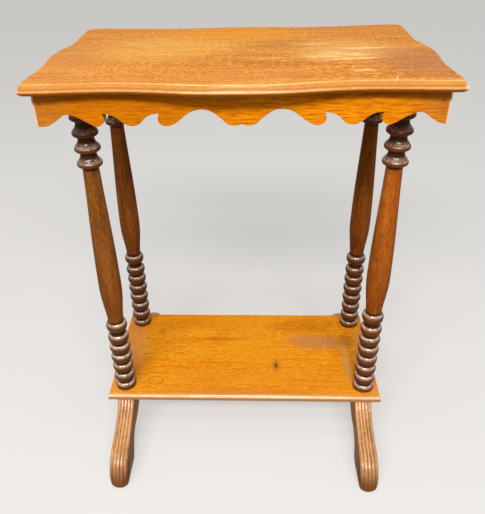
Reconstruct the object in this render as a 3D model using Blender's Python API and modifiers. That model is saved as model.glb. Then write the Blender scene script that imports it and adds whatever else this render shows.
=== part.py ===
# Two-tier side table: a shaped top on a scalloped frieze, four turned legs, a low shelf
# and two arched, reeded feet. Metres, +Z up, -Y is the front.
# The origin is on the floor below the middle of the table.

import math

import bmesh
import bpy
from mathutils import Vector

# Whole table
table_height = 0.717
fit_gap = 0.0003
cut_overrun = 0.0020
weld_distance = 0.00005

# Top board: tip to tip, with a wave along each edge
top_length = 0.5566
top_depth = 0.3790
top_thick = 0.0145
top_chamfer = 0.0066
under_chamfer = 0.0070
front_tip_blunt = 0.0015
back_tip_blunt = 0.0045
front_wave = 0.0160
back_wave = 0.0133
side_wave = 0.0097

# Each wave runs from the middle of an edge to its tip, as (place along, height of the wave).
# The swell of each end is fuller towards the front.
front_wave_shares = (
    (0.0, 1.0), (0.13, 0.96), (0.22, 0.84), (0.30, 0.60), (0.38, 0.33),
    (0.48, 0.10), (0.60, 0.0), (0.74, 0.10), (0.88, 0.28),
)
back_wave_shares = (
    (0.0, 0.50), (0.15, 0.45), (0.30, 0.13), (0.42, 0.0), (0.58, 0.25), (0.76, 0.72), (0.90, 1.0),
)
front_side_wave_shares = (
    (0.0, 0.90), (0.10, 1.0), (0.20, 0.95), (0.31, 0.74), (0.41, 0.50), (0.53, 0.29), (0.66, 0.34),
    (0.80, 0.45), (0.90, 0.46),
)
back_side_wave_shares = (
    (0.0, 0.90), (0.10, 0.63), (0.20, 0.25), (0.30, 0.03), (0.40, 0.06), (0.53, 0.22), (0.66, 0.40),
    (0.79, 0.48), (0.90, 0.44),
)
front_tip_share = 0.30
back_tip_share = 1.0
side_tip_share = 0.35

# Frieze boards below the top
frieze_end_setback = 0.0135
frieze_face_setback = 0.0215
frieze_drop = 0.0446
frieze_thick = 0.0150
frieze_end_inset = 0.0020
long_pattern_shift = 0.0032

# Lower edge of a frieze from its middle to its end: (place along, drop, sharp corner).
long_frieze_shares = (
    (0.0, 0.955, False), (0.030, 1.0, False), (0.066, 0.960, False), (0.105, 0.760, False),
    (0.155, 0.558, False), (0.200, 0.518, False), (0.245, 0.582, False), (0.290, 0.765, False),
    (0.328, 0.930, False), (0.367, 1.0, False), (0.398, 0.940, False), (0.409, 0.800, False),
    (0.403, 0.625, True), (0.436, 0.650, False), (0.470, 0.750, False), (0.502, 0.930, False),
    (0.540, 0.990, False), (0.575, 0.920, False), (0.612, 0.740, False), (0.645, 0.650, False),
    (0.683, 0.618, True), (0.673, 0.760, False), (0.681, 0.910, False), (0.709, 1.0, False),
    (0.745, 0.920, False), (0.790, 0.760, False), (0.832, 0.655, False), (0.866, 0.650, False),
    (0.905, 0.800, False), (0.948, 0.950, False), (0.975, 0.990, False), (1.0, 0.990, True),
)
short_frieze_shares = (
    (0.0, 0.955, False), (0.050, 1.0, False), (0.110, 0.960, False), (0.180, 0.760, False),
    (0.265, 0.558, False), (0.340, 0.518, False), (0.420, 0.582, False), (0.495, 0.765, False),
    (0.560, 0.930, False), (0.625, 1.0, False), (0.678, 0.940, False), (0.698, 0.800, False),
    (0.688, 0.625, True), (0.745, 0.650, False), (0.810, 0.760, False), (0.880, 0.930, False),
    (0.950, 0.990, False), (1.0, 0.990, True),
)

# Nails through the long friezes into the ends of the short ones
nail_radius = 0.0008
nail_head_radius = 0.0016
nail_head_thick = 0.0010
nail_length = 0.0320
nail_sunk = 0.0004
nail_drop = 0.0140

# Glue blocks in the four corners below the top
block_side = 0.0240
block_height = 0.0260

# Cleats below the top, which take the heads of the legs
cleat_width = 0.0380
cleat_thick = 0.0200
cleat_end_gap = 0.0040
screw_from_leg = 0.0320
screw_radius = 0.0020
screw_head_radius = 0.0042
screw_head_thick = 0.0026
screw_length = 0.0270
screw_slot_width = 0.0010
screw_slot_depth = 0.0010

# Turned legs
leg_sides = 12
leg_end_inset = 0.0394
spigot_radius = 0.0085
spigot_chamfer = 0.0010
head_spigot_length = 0.0150
foot_spigot_length = 0.0340
spigot_end_gap = 0.0010
head_radius = 0.0165
head_length = 0.0110
neck_radius = 0.0123
disc_radius = 0.0193
disc_pitch = 0.0236
disc_drop = 0.0341
disc_count = 4
shaft_drop = 0.0086
shaft_top_radius = 0.0123
swell_radius = 0.0190
bead_radius = 0.0186
cove_radius = 0.0128
bead_pitch = 0.0229
first_bead_rise = 0.0042
seat_radius = 0.0168
collar_rise = 0.0040
collar_height = 0.0130
full_bead_count = 8
short_bead_count = 7

# Outline of one disc about its rim: (height in pitches, radius from neck to rim).
disc_shares = (
    (0.60, 0.0), (0.40, 0.22), (0.22, 0.72), (0.06, 1.0), (-0.07, 0.96), (-0.17, 0.60), (-0.28, 0.0),
)

# Outline of one bead about its middle: (height in pitches, radius from cove to bead).
bead_shares = ((0.33, 0.76), (0.0, 1.0), (-0.33, 0.76), (-0.50, 0.0))

# Swell of the shaft, from its top to the beads: (place down, radius from top to swell).
shaft_shares = (
    (0.0, 0.0), (0.14, 0.20), (0.33, 0.54), (0.45, 0.74), (0.56, 0.88),
    (0.66, 0.96), (0.74, 1.0), (0.81, 0.93), (0.88, 0.66), (0.94, 0.38), (1.0, 0.17),
)

# Shelf
shelf_depth = 0.2480
shelf_end_overhang = 0.0300
shelf_side_overhang = 0.0295
shelf_set_back = 0.0008
shelf_thick = 0.0140
shelf_round = 0.0060
shelf_under_round = 0.0015

# Feet: an arched trestle each side, reeded along its outer face, with a bull-nosed toe
toe_past_shelf = 0.1035
foot_height = 0.1083
foot_width = 0.0332
toe_bow = 0.0120
reed_count = 5
reed_depth = 0.0020
reed_shoulder_share = 0.30

# Edges of the outer face and of the arch, from the middle to the toe, in pairs that face each other:
# (reach, height) of the outer face, (reach, height) of the arch, then width, bow and reed depth.
foot_shares = (
    (0.0, 1.0, 0.0, 0.737, 0.95, 0.0, 0.0),
    (0.220, 1.0, 0.200, 0.700, 0.95, 0.0, 0.0),
    (0.400, 1.0, 0.350, 0.565, 0.95, 0.0, 0.0),
    (0.460, 1.0, 0.433, 0.483, 0.95, 0.0, 0.0),
    (0.503, 0.902, 0.470, 0.460, 0.95, 0.33, 1.0),
    (0.558, 0.774, 0.515, 0.445, 0.94, 0.50, 1.0),
    (0.637, 0.704, 0.562, 0.424, 0.92, 0.38, 1.0),
    (0.703, 0.654, 0.604, 0.392, 0.92, 0.36, 1.0),
    (0.774, 0.603, 0.641, 0.355, 0.93, 0.38, 1.0),
    (0.835, 0.560, 0.671, 0.318, 0.95, 0.44, 1.0),
    (0.892, 0.512, 0.695, 0.276, 0.97, 0.55, 1.0),
    (0.938, 0.442, 0.715, 0.230, 0.99, 0.67, 1.0),
    (0.974, 0.345, 0.733, 0.170, 1.0, 0.80, 1.0),
    (0.996, 0.221, 0.747, 0.108, 0.99, 0.92, 1.0),
    (1.0, 0.083, 0.766, 0.045, 0.95, 1.0, 0.8),
    (0.980, 0.0, 0.785, 0.0, 0.86, 1.0, 0.4),
)

# Heights and places that follow from the sizes above
top_under = table_height - top_thick
frieze_top = top_under - fit_gap
cleat_under = frieze_top - cleat_thick
leg_head_top = cleat_under - fit_gap
shelf_under = foot_height + fit_gap
shelf_top = shelf_under + shelf_thick
leg_seat = shelf_top + fit_gap
frieze_length = top_length - 2 * frieze_end_setback
frieze_depth = top_depth - 2 * frieze_face_setback
leg_x = frieze_length / 2 - leg_end_inset
leg_y = shelf_depth / 2 - shelf_side_overhang
shelf_length = 2 * (leg_x + shelf_end_overhang)
foot_reach = shelf_depth / 2 + toe_past_shelf
leg_places = {
    "front_left": (-leg_x, -leg_y),
    "front_right": (leg_x, -leg_y),
    "back_left": (-leg_x, leg_y),
    "back_right": (leg_x, leg_y),
}
frieze_inner_y = frieze_depth / 2 - frieze_thick
short_frieze_length = 2 * (frieze_inner_y - fit_gap)
short_frieze_x = frieze_length / 2 - frieze_end_inset - frieze_thick / 2
cleat_length = short_frieze_length - 2 * (block_side + cleat_end_gap)

# Colours as linear RGB, with roughness and metallic values
finishes = {
    "top_wood": ((0.50, 0.19, 0.060), 0.34, 0.0),
    "frieze_wood": ((0.62, 0.21, 0.025), 0.40, 0.0),
    "shelf_wood": ((0.56, 0.19, 0.040), 0.34, 0.0),
    "leg_wood": ((0.22, 0.070, 0.028), 0.28, 0.0),
    "foot_wood": ((0.27, 0.095, 0.034), 0.34, 0.0),
    "inner_wood": ((0.36, 0.20, 0.100), 0.70, 0.0),
    "screw_steel": ((0.38, 0.36, 0.33), 0.42, 1.0),
    "nail_steel": ((0.12, 0.11, 0.10), 0.55, 1.0),
}


def clear_scene():
    for scene_object in list(bpy.data.objects):
        bpy.data.objects.remove(scene_object, do_unlink=True)


def new_collection(name):
    collection = bpy.data.collections.new(name)
    bpy.context.scene.collection.children.link(collection)
    return collection


def make_finishes():
    materials = {}
    for name, (colour, roughness, metallic) in finishes.items():
        material = bpy.data.materials.new(name)
        material.use_nodes = True
        shader = material.node_tree.nodes["Principled BSDF"]
        shader.inputs["Base Color"].default_value = (*colour, 1.0)
        shader.inputs["Roughness"].default_value = roughness
        shader.inputs["Metallic"].default_value = metallic
        material.diffuse_color = (*colour, 1.0)
        materials[name] = material
    return materials


clear_scene()
table_parts = new_collection("two_tier_side_table")
cutters = new_collection("cutters")
cutters.hide_render = True
materials = make_finishes()


def add_object(name, data, finish=None, location=(0, 0, 0), rotation=(0, 0, 0)):
    """Adds a part with a finish, or a cutter where no finish is given."""
    added = bpy.data.objects.new(name, data)
    added.location = location
    added.rotation_euler = rotation
    if finish:
        data.materials.append(materials[finish])
        table_parts.objects.link(added)
    else:
        added.hide_render = True
        added.display_type = "WIRE"
        cutters.objects.link(added)
    return added


def mesh_of(work, name):
    """Closes a bmesh into a named mesh."""
    mesh = bpy.data.meshes.new(name)
    work.to_mesh(mesh)
    work.free()
    return mesh


def turned(name, profile, finish=None, location=(0, 0, 0), rotation=(0, 0, 0)):
    """Turns a profile of (radius, height) points, listed from the top down, about its own Z axis."""
    work = bmesh.new()
    verts = [work.verts.new((radius, 0, height)) for radius, height in profile]
    for upper, lower in zip(verts, verts[1:]):
        work.edges.new((upper, lower))
    piece = add_object(name, mesh_of(work, name), finish, location, rotation)
    screw = piece.modifiers.new("Turn", "SCREW")
    screw.axis = "Z"
    screw.angle = math.tau
    screw.steps = leg_sides
    screw.render_steps = leg_sides
    screw.use_merge_vertices = True
    screw.merge_threshold = weld_distance
    screw.use_smooth_shade = True
    return piece


def outline_curve(name, knots, thick):
    """A filled 2D curve through (x, y, is_corner) knots, as thick as given."""
    curve = bpy.data.curves.new(name, "CURVE")
    curve.dimensions = "2D"
    curve.fill_mode = "BOTH"
    curve.extrude = thick / 2
    curve.resolution_u = 2
    curve.render_resolution_u = 2
    spline = curve.splines.new("BEZIER")
    spline.bezier_points.add(len(knots) - 1)
    spline.use_cyclic_u = True
    for point, (x, y, is_corner) in zip(spline.bezier_points, knots):
        point.co = (x, y, 0)
        handle = "VECTOR" if is_corner else "AUTO"
        point.handle_left_type = handle
        point.handle_right_type = handle
    return curve


def board_from_outline(name, knots, thick, finish, location=(0, 0, 0), rotation=(0, 0, 0)):
    """Cuts a flat board to an outline and keeps each of its two faces as one polygon."""
    curve = outline_curve(name + "_outline", knots, thick)
    guide = add_object(name + "_outline", curve, None, location, rotation)
    bpy.context.view_layer.update()
    evaluated = guide.evaluated_get(bpy.context.evaluated_depsgraph_get())
    mesh = bpy.data.meshes.new_from_object(evaluated)
    mesh.name = name
    work = bmesh.new()
    work.from_mesh(mesh)
    bmesh.ops.remove_doubles(work, verts=work.verts, dist=weld_distance)
    inner_edges = [edge for edge in work.edges if all(abs(face.normal.z) > 0.99 for face in edge.link_faces)]
    bmesh.ops.dissolve_edges(work, edges=inner_edges, use_verts=False)
    bmesh.ops.recalc_face_normals(work, faces=work.faces)
    work.to_mesh(mesh)
    work.free()
    mesh.materials.clear()
    board = add_object(name, mesh, finish)
    board.matrix_world = guide.matrix_world.copy()
    bpy.data.objects.remove(guide, do_unlink=True)
    return board


def box(name, size, finish=None, location=(0, 0, 0)):
    work = bmesh.new()
    bmesh.ops.create_cube(work, size=1)
    bmesh.ops.scale(work, vec=size, verts=work.verts)
    return add_object(name, mesh_of(work, name), finish, location)


def shape_rims(board, upper_width, lower_width, segments):
    """Chamfers or rounds the upper and lower rims of a flat board by different widths."""
    work = bmesh.new()
    work.from_mesh(board.data)
    weights = work.edges.layers.float.new("bevel_weight_edge")
    for edge in work.edges:
        if abs(edge.verts[0].co.z - edge.verts[1].co.z) > weld_distance:
            continue
        edge[weights] = min(upper_width, lower_width) / max(upper_width, lower_width)
        if (edge.verts[0].co.z > 0) == (upper_width > lower_width):
            edge[weights] = 1.0
    work.to_mesh(board.data)
    work.free()
    bevel = board.modifiers.new("Rims", "BEVEL")
    bevel.limit_method = "WEIGHT"
    bevel.width = max(upper_width, lower_width)
    bevel.segments = segments


def cut(piece, cutter):
    boolean = piece.modifiers.new("Cut " + cutter.name, "BOOLEAN")
    boolean.operation = "DIFFERENCE"
    boolean.object = cutter
    boolean.solver = "EXACT"


def edge_knots(shares, reach, wave, tip_share):
    """(place along, distance out) on one edge of the top, for the half from its middle to a tip."""
    return [(along, reach - wave * (tip_share - height)) for along, height in shares]


def top_outline():
    """Knots round the whole top, counter-clockwise from the middle of the front edge."""
    half_length = top_length / 2
    half_depth = top_depth / 2
    front = edge_knots(front_wave_shares, half_depth, front_wave, front_tip_share)
    back = edge_knots(back_wave_shares, half_depth, back_wave, back_tip_share)
    front_side = edge_knots(front_side_wave_shares, half_length, side_wave, side_tip_share)
    back_side = edge_knots(back_side_wave_shares, half_length, side_wave, side_tip_share)
    right = [(along * half_length, -out) for along, out in front]
    right.append((half_length - front_tip_blunt, front_tip_blunt - half_depth))
    right += [(out, -along * half_depth) for along, out in reversed(front_side)]
    right += [(out, along * half_depth) for along, out in back_side[1:]]
    right.append((half_length - back_tip_blunt, half_depth - back_tip_blunt))
    right += [(along * half_length, out) for along, out in reversed(back)]
    left = [(-x, y) for x, y in reversed(right[1:-1])]
    return [(x, y, False) for x, y in right + left]


def make_top():
    board = board_from_outline(
        "top_board", top_outline(), top_thick, "top_wood", location=(0, 0, top_under + top_thick / 2)
    )
    shape_rims(board, top_chamfer, under_chamfer, segments=1)
    for cutter in screw_cutters:
        cut(board, cutter)


def frieze_outline(shares, length, pattern_shift):
    """Knots of a scalloped board with its top edge on y = 0 and its pattern moved along."""
    half = length / 2
    lower = [(along * half, -drop * frieze_drop, sharp) for along, drop, sharp in shares]
    left = [(-x, y, sharp) for x, y, sharp in reversed(lower[1:])]
    pattern = [(x + pattern_shift, y, sharp) for x, y, sharp in left[1:] + lower[:-1]]
    return [(half, 0, True), (-half, 0, True), left[0]] + pattern + [lower[-1]]


def make_friezes():
    upright = math.radians(90)
    long_knots = frieze_outline(long_frieze_shares, frieze_length, long_pattern_shift)
    short_knots = frieze_outline(short_frieze_shares, short_frieze_length, 0)
    long_y = frieze_depth / 2 - frieze_thick / 2
    plans = (
        ("front_frieze", long_knots, (0, -long_y, frieze_top), 0),
        ("back_frieze", long_knots, (0, long_y, frieze_top), 0),
        ("left_frieze", short_knots, (-short_frieze_x, 0, frieze_top), upright),
        ("right_frieze", short_knots, (short_frieze_x, 0, frieze_top), upright),
    )
    for name, knots, place, turn in plans:
        board = board_from_outline(name, knots, frieze_thick, "frieze_wood", place, (upright, 0, turn))
        for cutter in nail_cutters:
            if cutter.location.y * board.location.y >= 0 and cutter.location.x * board.location.x >= 0:
                cut(board, cutter)


def nail_profile(clearance):
    """A flat-headed nail along Z with the top of its head at z = 0."""
    head = nail_head_radius + clearance
    shank = nail_radius + clearance
    tip = -nail_length - clearance
    return [
        (0, nail_sunk + cut_overrun if clearance else 0),
        (head, nail_sunk + cut_overrun if clearance else 0),
        (head, -nail_head_thick - clearance),
        (shank, -nail_head_thick - clearance),
        (shank, tip),
        (0, tip),
    ]


def nail_places():
    """Name, place and turn of each nail, driven in from the face of a long frieze."""
    places = []
    for side_x, side_name in ((-1, "left"), (1, "right")):
        for side_y, end_name in ((-1, "front"), (1, "back")):
            face = side_y * (frieze_depth / 2 - nail_sunk)
            turn = (-side_y * math.radians(90), 0, 0)
            name = f"{end_name}_{side_name}_nail"
            places.append((name, (side_x * short_frieze_x, face, frieze_top - nail_drop), turn))
    return places


def make_nail_cutters():
    profile = nail_profile(fit_gap)
    return [turned(name + "_hole", profile, None, place, turn) for name, place, turn in nail_places()]


def make_nails():
    for name, place, turn in nail_places():
        turned(name, nail_profile(0), "nail_steel", place, turn)


def screw_profile(clearance):
    """A countersunk screw along Z with its head down, the face of the head at z = 0."""
    head = screw_head_radius + clearance
    shank = screw_radius + clearance
    tip = screw_length + clearance
    return [
        (0, tip),
        (shank, tip),
        (shank, screw_head_thick + clearance),
        (head, clearance),
        (head, -cut_overrun if clearance else 0),
        (0, -cut_overrun if clearance else 0),
    ]


def screw_places():
    """Name and place of each screw, driven up through a cleat into the top."""
    reach = leg_y - screw_from_leg
    places = []
    for side, side_name in ((-1, "left"), (1, "right")):
        for along, end_name in ((-reach, "front"), (0, "middle"), (reach, "back")):
            places.append((f"{side_name}_cleat_screw_{end_name}", (side * leg_x, along, cleat_under)))
    return places


def make_screw_cutters():
    return [turned(name + "_hole", screw_profile(fit_gap), None, place) for name, place in screw_places()]


def make_screws():
    slot_length = 2 * (screw_head_radius + cut_overrun)
    slot_height = screw_slot_depth + cut_overrun
    for name, place in screw_places():
        screw = turned(name, screw_profile(0), "screw_steel", place)
        slot_centre = Vector(place) + Vector((0, 0, screw_slot_depth - slot_height / 2))
        cut(screw, box(name + "_slot", (slot_length, screw_slot_width, slot_height), None, slot_centre))


def make_glue_blocks():
    """Three-sided blocks, glued into the corners of the frieze below the top."""
    corner_x = short_frieze_x - frieze_thick / 2 - fit_gap
    corner_y = frieze_inner_y - fit_gap
    for side_x, side_name in ((-1, "left"), (1, "right")):
        for side_y, end_name in ((-1, "front"), (1, "back")):
            work = bmesh.new()
            places = ((0, 0, 0), (-side_x * block_side, 0, 0), (0, -side_y * block_side, 0))
            face = work.faces.new([work.verts.new(place) for place in places])
            grown = bmesh.ops.extrude_face_region(work, geom=[face])["geom"]
            lower = [item for item in grown if isinstance(item, bmesh.types.BMVert)]
            bmesh.ops.translate(work, verts=lower, vec=(0, 0, -block_height))
            bmesh.ops.recalc_face_normals(work, faces=work.faces)
            name = f"{end_name}_{side_name}_glue_block"
            corner = (side_x * corner_x, side_y * corner_y, frieze_top)
            add_object(name, mesh_of(work, name), "inner_wood", corner)


def make_spigot_cutters(name, length, seat, upward):
    """Round holes for one end of every leg's spigots, open at the seat, by the name of the leg's corner."""
    turn = 0 if upward else math.pi
    radius = spigot_radius + fit_gap
    depth = length + spigot_end_gap
    profile = [(0, depth), (radius, depth), (radius, -cut_overrun), (0, -cut_overrun)]
    return {
        corner: turned(f"{corner}_{name}", profile, None, (x, y, seat), (turn, 0, 0))
        for corner, (x, y) in leg_places.items()
    }


def make_cleats():
    holes = make_spigot_cutters("head_hole", head_spigot_length, cleat_under, True)
    for side, name in ((-1, "left"), (1, "right")):
        size = (cleat_width, cleat_length, cleat_thick)
        cleat = box(f"{name}_cleat", size, "inner_wood", (side * leg_x, 0, cleat_under + cleat_thick / 2))
        cut(cleat, holes[f"front_{name}"])
        cut(cleat, holes[f"back_{name}"])
        for cutter in screw_cutters:
            if cutter.location.x * side > 0:
                cut(cleat, cutter)


def leg_profile(bead_count):
    """(radius, height) points of a leg from its head spigot down to its foot spigot."""
    points = [
        (0, leg_head_top + head_spigot_length),
        (spigot_radius - spigot_chamfer, leg_head_top + head_spigot_length),
        (spigot_radius, leg_head_top + head_spigot_length - spigot_chamfer),
        (spigot_radius, leg_head_top),
        (head_radius, leg_head_top),
        (head_radius, leg_head_top - head_length),
    ]
    first_disc = leg_head_top - disc_drop
    for disc in range(disc_count):
        rim = first_disc - disc * disc_pitch
        for rise, share in disc_shares:
            points.append((neck_radius + share * (disc_radius - neck_radius), rim + rise * disc_pitch))
    shaft_top = first_disc - (disc_count - 1) * disc_pitch - shaft_drop
    top_bead = leg_seat + first_bead_rise + (bead_count - 1) * bead_pitch + collar_rise
    shaft_bottom = top_bead + collar_height
    for down, share in shaft_shares:
        radius = shaft_top_radius + share * (swell_radius - shaft_top_radius)
        points.append((radius, shaft_top + down * (shaft_bottom - shaft_top)))
    for bead in reversed(range(bead_count)):
        middle = top_bead if bead == bead_count - 1 else leg_seat + first_bead_rise + bead * bead_pitch
        for rise, share in bead_shares:
            height = middle + rise * bead_pitch
            if height > leg_seat:
                points.append((cove_radius + share * (bead_radius - cove_radius), height))
    spigot_end = leg_seat - foot_spigot_length
    points += [
        (seat_radius, leg_seat),
        (spigot_radius, leg_seat),
        (spigot_radius, spigot_end + spigot_chamfer),
        (spigot_radius - spigot_chamfer, spigot_end),
        (0, spigot_end),
    ]
    return points


def make_legs():
    for corner, (x, y) in leg_places.items():
        bead_count = short_bead_count if corner == "front_left" else full_bead_count
        turned(f"{corner}_leg", leg_profile(bead_count), "leg_wood", (x, y, 0))


def make_shelf():
    size = (shelf_length, shelf_depth, shelf_thick)
    shelf = box("shelf_board", size, "shelf_wood", (0, shelf_set_back, shelf_under + shelf_thick / 2))
    shape_rims(shelf, shelf_round, shelf_under_round, segments=2)
    for hole in foot_holes.values():
        cut(shelf, hole)


def foot_section(outer, inner, width_share, bow_share, reed_share):
    """Closed ring of points across one foot: the reeded outer face, then the plain arch face."""
    half_width = width_share * foot_width / 2
    outward = (outer - inner).normalized()
    ring = []
    for reed in range(reed_count):
        for place, groove in ((0, reed_depth), (reed_shoulder_share, 0), (1 - reed_shoulder_share, 0)):
            across = 2 * (reed + place) / reed_count - 1
            bow = bow_share * toe_bow * math.sqrt(1 - across ** 2)
            spot = outer + outward * (bow - groove * reed_share)
            ring.append((across * half_width, spot.x, spot.y))
    edge = outer - outward * reed_depth * reed_share
    ring.append((half_width, edge.x, edge.y))
    ring.append((half_width, inner.x, inner.y))
    ring.append((-half_width, inner.x, inner.y))
    return ring


def foot_half_mesh(name):
    """Half a foot from the middle of its arch out to the toe, open at the middle."""
    work = bmesh.new()
    rings = []
    for outer_reach, outer_height, inner_reach, inner_height, *section_shares in foot_shares:
        outer = Vector((outer_reach * foot_reach, outer_height * foot_height))
        inner = Vector((inner_reach * foot_reach, inner_height * foot_height))
        section = foot_section(outer, inner, *section_shares)
        rings.append([work.verts.new(place) for place in section])
    for near, far in zip(rings, rings[1:]):
        for index, vert in enumerate(near):
            after = (index + 1) % len(near)
            work.faces.new((vert, near[after], far[after], far[index]))
    work.faces.new(rings[-1])
    bmesh.ops.recalc_face_normals(work, faces=work.faces)
    return mesh_of(work, name)


def make_feet():
    for side, name in ((-1, "left"), (1, "right")):
        mesh = foot_half_mesh(f"{name}_foot")
        foot = add_object(f"{name}_foot", mesh, "foot_wood", (side * leg_x, 0, 0))
        mirror = foot.modifiers.new("Other half", "MIRROR")
        mirror.use_axis = (False, True, False)
        mirror.use_clip = True
        mirror.merge_threshold = weld_distance
        cut(foot, foot_holes[f"front_{name}"])
        cut(foot, foot_holes[f"back_{name}"])


screw_cutters = make_screw_cutters()
nail_cutters = make_nail_cutters()
foot_holes = make_spigot_cutters("foot_hole", foot_spigot_length, leg_seat, False)
make_top()
make_friezes()
make_nails()
make_glue_blocks()
make_cleats()
make_screws()
make_legs()
make_shelf()
make_feet()
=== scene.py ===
import math
import random

import bmesh
import bpy
import numpy as np
from mathutils import Matrix, Vector


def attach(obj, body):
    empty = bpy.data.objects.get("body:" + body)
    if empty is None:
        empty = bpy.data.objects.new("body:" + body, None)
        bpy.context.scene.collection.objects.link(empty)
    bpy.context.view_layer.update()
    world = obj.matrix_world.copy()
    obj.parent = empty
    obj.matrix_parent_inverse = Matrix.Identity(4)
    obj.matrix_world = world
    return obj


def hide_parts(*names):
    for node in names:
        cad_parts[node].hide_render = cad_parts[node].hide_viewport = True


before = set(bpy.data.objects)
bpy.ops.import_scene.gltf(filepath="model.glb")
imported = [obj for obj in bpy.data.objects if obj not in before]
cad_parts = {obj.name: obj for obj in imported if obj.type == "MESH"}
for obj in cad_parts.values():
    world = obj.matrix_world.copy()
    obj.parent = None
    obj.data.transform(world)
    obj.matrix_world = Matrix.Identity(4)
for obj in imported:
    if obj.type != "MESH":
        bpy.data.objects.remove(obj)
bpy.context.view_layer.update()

# Two-tier side table, dressed around its solids. Metres, +Z up, -Y is the front.
print("frame:", len(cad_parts), "pieces")


# Shader maths: one socket, with the operators that the finishes use

class Sock:
    def __init__(self, tree, link=None):
        self.tree = tree
        self.link = link

    def node(self, kind, settings=None, sockets=None, out=0):
        made = self.tree.nodes.new(kind)
        for key, value in (settings or {}).items():
            if key == "stops":
                ramp = made.color_ramp
                ramp.elements.remove(ramp.elements[1])
                ramp.elements[0].position = value[0][0]
                ramp.elements[0].color = (*value[0][1], 1)
                for spot, colour in value[1:]:
                    ramp.elements.new(spot).color = (*colour, 1)
            else:
                setattr(made, key, value)
        for key, value in (sockets or {}).items():
            if isinstance(value, Sock):
                self.tree.links.new(value.link, made.inputs[key])
            else:
                made.inputs[key].default_value = value
        return Sock(self.tree, made.outputs[out])

    def other(self, out):
        return Sock(self.tree, self.link.node.outputs[out])

    def maths(self, operation, *values, clamp=False):
        settings = {"operation": operation, "use_clamp": clamp}
        return self.node("ShaderNodeMath", settings, dict(enumerate(values)))

    def __add__(self, value):
        return self.maths("ADD", self, value)

    def __sub__(self, value):
        return self.maths("SUBTRACT", self, value)

    def __rsub__(self, value):
        return self.maths("SUBTRACT", value, self)

    def __mul__(self, value):
        return self.maths("MULTIPLY", self, value)

    def __truediv__(self, value):
        return self.maths("DIVIDE", self, value)

    __radd__ = __add__

    def absolute(self):
        return self.maths("ABSOLUTE", self)

    def clamped(self):
        return self.maths("ADD", self, 0, clamp=True)

    def between(self, low, high):  # 0 below low, 1 above high, smooth in between
        settings = {"interpolation_type": "SMOOTHSTEP"}
        return self.node("ShaderNodeMapRange", settings, {"Value": self, "From Min": low, "From Max": high})

    def inside(self, low, high, soft):  # 1 from low to high, fading over soft
        return self.between(low - soft, low + soft) * (1 - self.between(high - soft, high + soft))

    def vector(self, operation, *values, out="Vector"):
        return self.node("ShaderNodeVectorMath", {"operation": operation}, dict(enumerate(values)), out)

    def shifted(self, offset):
        return self.vector("ADD", self, offset)

    def scaled(self, factors):
        return self.vector("MULTIPLY", self, factors)

    def length(self):
        return self.vector("LENGTH", self, out="Value")

    def raised(self, least):  # the same field, but running from least to 1
        return self * (1 - least) + least

    def noise(self, detail, roughness=0.5, out="Fac"):
        sockets = {"Vector": self, "Scale": 1.0, "Detail": detail, "Roughness": roughness}
        return self.node("ShaderNodeTexNoise", None, sockets, out)

    def ramp(self, stops):
        return self.node("ShaderNodeValToRGB", {"stops": stops}, {"Fac": self})

    def tinted(self, colour, factor):  # this colour moved towards another
        sockets = {0: factor, 6: self, 7: (*colour, 1)}
        return self.node("ShaderNodeMix", {"data_type": "RGBA"}, sockets, 2)

    def stained(self, tone, amount):  # a tone is a colour and how strong it is where the amount is 1
        return self.tinted(tone[0], amount * tone[1])


def newFinish(name, settings):
    material = bpy.data.materials.new(name)
    material.use_nodes = True
    shader = material.node_tree.nodes["Principled BSDF"]
    for key, value in settings.items():
        shader.inputs[key].default_value = value
    return material, shader, Sock(material.node_tree)


def connect(shader, links):
    for key, value in links.items():
        value.tree.links.new(value.link, shader.inputs[key])


def surfaceNormal(height, strength, distance):
    return height.node("ShaderNodeBump", None, {"Height": height, "Strength": strength, "Distance": distance})


# Wood: one recipe for every board and turning. Scales are per metre along, across and through the grain.
# Each piece adds its dark, mid, light and pore colours and changes what differs.
plainWood = {
    "grain": "XYZ",           # which axes run along, across and through the grain
    "seed": (0.0, 0.0, 0.0),  # where in the tree the piece was cut
    "layers": (               # scale, how much it changes the tone
        ((3.0, 9.0, 9.0), 1.1),
        ((8.0, 190.0, 190.0), 0.9),
        ((60.0, 420.0, 420.0), 0.9),
        ((26.0, 900.0, 900.0), 0.8),
    ),
    "contrast": 1.6,
    "swayScale": (2.3, 8.0, 8.0), "warp": 0.006,
    "pith": (0.035, 0.055), "ringPitch": 0.0052, "rings": 0.2,
    "poreScale": (45.0, 700.0, 700.0), "pores": 0.45,
    "rough": 0.5, "roughSpread": 0.16, "gloss": 0.05,
    "coatRough": 0.15, "coatDepth": 1.5,
    "bump": 0.3, "relief": 0.00012,
}


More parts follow.
